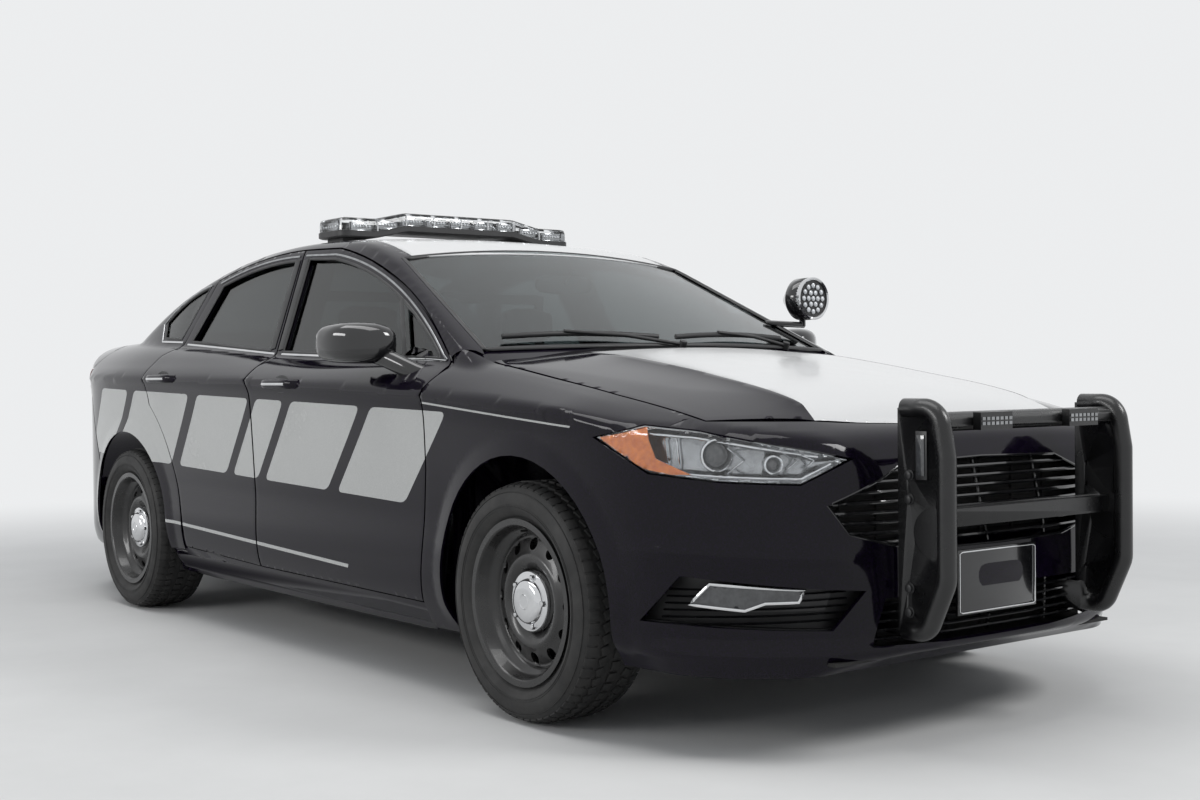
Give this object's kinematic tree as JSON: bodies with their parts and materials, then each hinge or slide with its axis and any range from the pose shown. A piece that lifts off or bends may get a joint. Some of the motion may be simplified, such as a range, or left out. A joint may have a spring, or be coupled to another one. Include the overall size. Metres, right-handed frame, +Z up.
{
  "type": "police patrol car",
  "caption": "Four-door police patrol saloon with a push bumper, roof light bar and pillar spotlight; wheels, steering, doors, hood and trunk lid move.",
  "frame": {"origin": "on the ground, on the centre line, midway between the front of the guard and the rear of the body", "axes": "+X forward, +Y to the left, +Z up"},
  "size_m": [5.016, 2.096, 1.5838],
  "materials": {
    "black_paint": "high gloss black with a fine violet and blue flake",
    "white_panel": "gloss white",
    "dark_trim": "satin black",
    "window_glass": "tinted glass",
    "lamp_clear": "clear lens over chrome",
    "lamp_red": "red lens",
    "guard_metal": "powder coated steel, satin black",
    "wheel_steel": "semi gloss black with a chrome centre cap",
    "tyre_rubber": "matt rubber",
    "bare_steel": "grey cast iron and steel",
    "cabin_trim": "grained dark plastic",
    "seat_cloth": "dark woven cloth",
    "chrome_trim": "chrome"
  },
  "bodies": {
    "root": {"body_shell": "black_paint", "roof_panel": "white_panel", "front_fenders": "black_paint", "front_bumper": "black_paint", "rear_bumper": "black_paint", "grille": "dark_trim", "headlamps": "lamp_clear", "tail_lamps": "lamp_red", "fog_lamps": "lamp_clear", "windscreen": "window_glass", "rear_windows": "window_glass", "push_bumper": "guard_metal", "light_bar_base": "dark_trim", "light_bar_lens": "lamp_clear", "spotlight": "chrome_trim", "cowl_panel": "dark_trim", "dashboard": "cabin_trim", "front_seats": "seat_cloth", "rear_seat": "seat_cloth", "partition": "guard_metal", "engine_block": "bare_steel", "front_subframe": "bare_steel", "rear_axle": "bare_steel", "exhaust": "bare_steel", "fuel_tank": "dark_trim"},
    "hood": {"hood": "black_paint"},
    "trunk_lid": {"trunk_lid": "black_paint"},
    "steering_wheel": {"steering_wheel": "cabin_trim"},
    "front_door_left": {"front_door_left": "black_paint", "front_door_glass_left": "window_glass"},
    "front_door_right": {"front_door_right": "black_paint", "front_door_glass_right": "window_glass"},
    "rear_door_left": {"rear_door_left": "black_paint", "rear_door_glass_left": "window_glass"},
    "rear_door_right": {"rear_door_right": "black_paint", "rear_door_glass_right": "window_glass"},
    "knuckle_left": {"knuckle_front_left": "bare_steel"},
    "knuckle_right": {"knuckle_front_right": "bare_steel"},
    "wheel_front_left": {"tyre_front_left": "tyre_rubber", "wheel_front_left": "wheel_steel"},
    "wheel_front_right": {"tyre_front_right": "tyre_rubber", "wheel_front_right": "wheel_steel"},
    "wheel_rear_left": {"tyre_rear_left": "tyre_rubber", "wheel_rear_left": "wheel_steel"},
    "wheel_rear_right": {"tyre_rear_right": "tyre_rubber", "wheel_rear_right": "wheel_steel"}
  },
  "joints": [
    {"name": "front_door_left_swing", "type": "hinge", "parent": "root", "child": "front_door_left", "pos_m": [0.942, 0.914, 0.6], "axis": [0, 0, -1], "range_deg": [0, 65]},
    {"name": "rear_door_left_swing", "type": "hinge", "parent": "root", "child": "rear_door_left", "pos_m": [-0.252, 0.914, 0.6], "axis": [0, 0, -1], "range_deg": [0, 68]},
    {"name": "steer_left", "type": "hinge", "parent": "root", "child": "knuckle_left", "pos_m": [1.438, 0.706, 0.333], "axis": [0, 0, 1], "range_deg": [-33, 33]},
    {"name": "wheel_front_left_spin", "type": "hinge", "parent": "knuckle_left", "child": "wheel_front_left", "pos_m": [1.438, 0.8, 0.333], "axis": [0, 1, 0], "continuous": true},
    {"name": "wheel_rear_left_spin", "type": "hinge", "parent": "root", "child": "wheel_rear_left", "pos_m": [-1.412, 0.8, 0.333], "axis": [0, 1, 0], "continuous": true},
    {"name": "front_door_right_swing", "type": "hinge", "parent": "root", "child": "front_door_right", "pos_m": [0.942, -0.914, 0.6], "axis": [0, 0, 1], "range_deg": [0, 65]},
    {"name": "rear_door_right_swing", "type": "hinge", "parent": "root", "child": "rear_door_right", "pos_m": [-0.252, -0.914, 0.6], "axis": [0, 0, 1], "range_deg": [0, 68]},
    {"name": "steer_right", "type": "hinge", "parent": "root", "child": "knuckle_right", "pos_m": [1.438, -0.706, 0.333], "axis": [0, 0, 1], "range_deg": [-33, 33]},
    {"name": "wheel_front_right_spin", "type": "hinge", "parent": "knuckle_right", "child": "wheel_front_right", "pos_m": [1.438, -0.8, 0.333], "axis": [0, 1, 0], "continuous": true},
    {"name": "wheel_rear_right_spin", "type": "hinge", "parent": "root", "child": "wheel_rear_right", "pos_m": [-1.412, -0.8, 0.333], "axis": [0, 1, 0], "continuous": true},
    {"name": "hood_lift", "type": "hinge", "parent": "root", "child": "hood", "pos_m": [1.05, 0, 0.985], "axis": [0, -1, 0], "range_deg": [0, 50]},
    {"name": "trunk_lift", "type": "hinge", "parent": "root", "child": "trunk_lid", "pos_m": [-1.95, 0, 1.144], "axis": [0, 1, 0], "range_deg": [0, 78]},
    {"name": "steering_wheel_turn", "type": "hinge", "parent": "root", "child": "steering_wheel", "pos_m": [0.47, 0.37, 0.85], "axis": [-0.9135, 0, 0.4067], "range_deg": [-486, 486]}
  ],
  "couplings": [
    {"joint": "steer_right", "follows": "steer_left", "ratio": 1},
    {"joint": "steering_wheel_turn", "follows": "steer_left", "ratio": 14.7}
  ]
}
